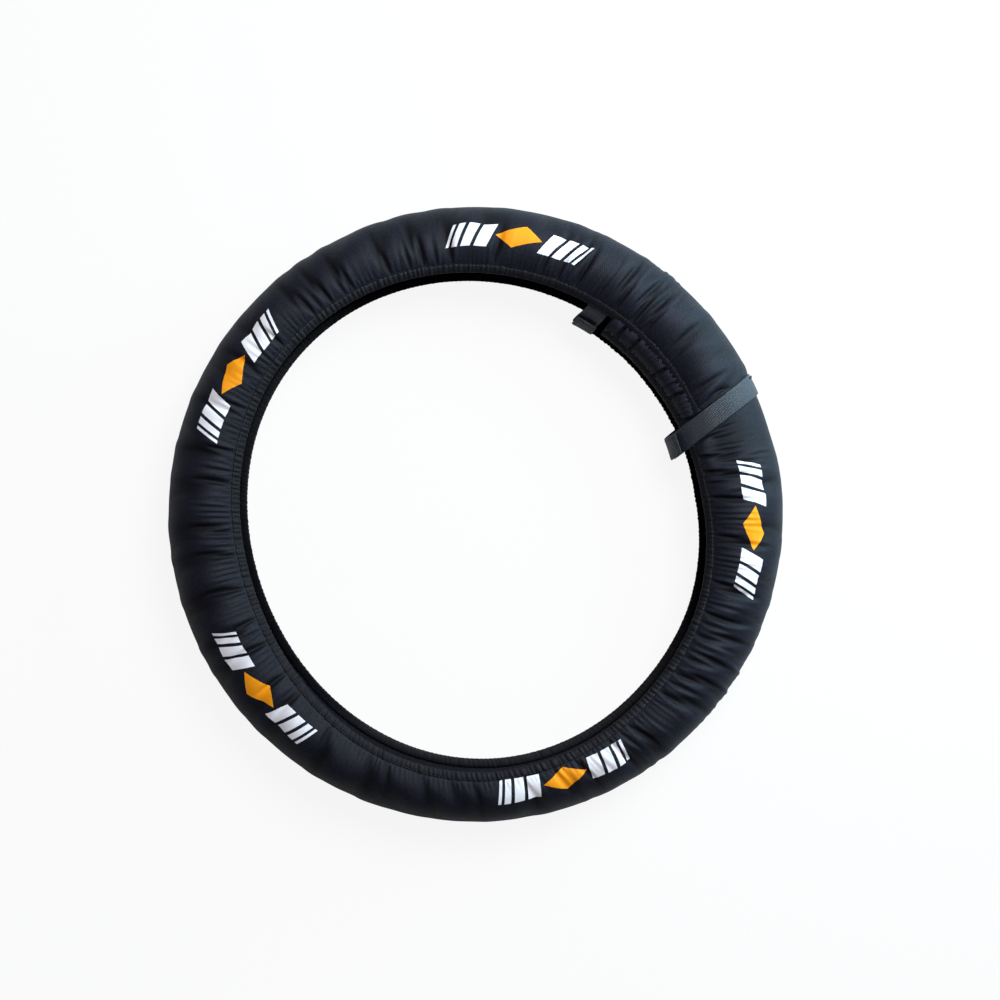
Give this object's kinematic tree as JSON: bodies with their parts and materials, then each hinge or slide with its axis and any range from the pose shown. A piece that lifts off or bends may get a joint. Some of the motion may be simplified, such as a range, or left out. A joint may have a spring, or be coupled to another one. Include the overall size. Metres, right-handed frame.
{
  "type": "motorcycle tire cover",
  "caption": "Gathered cloth ring that wraps a motorcycle tire, with elastic hems along both edges, lapping ends and a webbing strap to close each end.",
  "frame": {"origin": "centre of the ring on the ground that its back face rests on", "axes": "+Z along the ring's axis, towards the front face of the picture; +X to the picture's right and +Y to its top, so that the outer strap lies at 25 degrees from +X"},
  "size_m": [0.72, 0.7199, 0.1024],
  "materials": {
    "cover_cloth": "plain-woven black polyester with a soft sheen",
    "hem_elastic": "braided flat elastic",
    "strap_webbing": "plain-woven nylon webbing, slightly shiny",
    "loop_tape": "brushed loop pile, matt",
    "hook_tape": "rows of fine plastic hooks"
  },
  "bodies": {
    "root": {"cover_panel": "cover_cloth", "front_hem_elastic": "hem_elastic", "back_hem_elastic": "hem_elastic", "outer_end_strap": "strap_webbing", "inner_end_strap": "strap_webbing", "outer_strap_loop_patch": "loop_tape", "inner_strap_loop_patch": "loop_tape", "outer_strap_hook_patch": "hook_tape", "inner_strap_hook_patch": "hook_tape"}
  },
  "joints": []
}
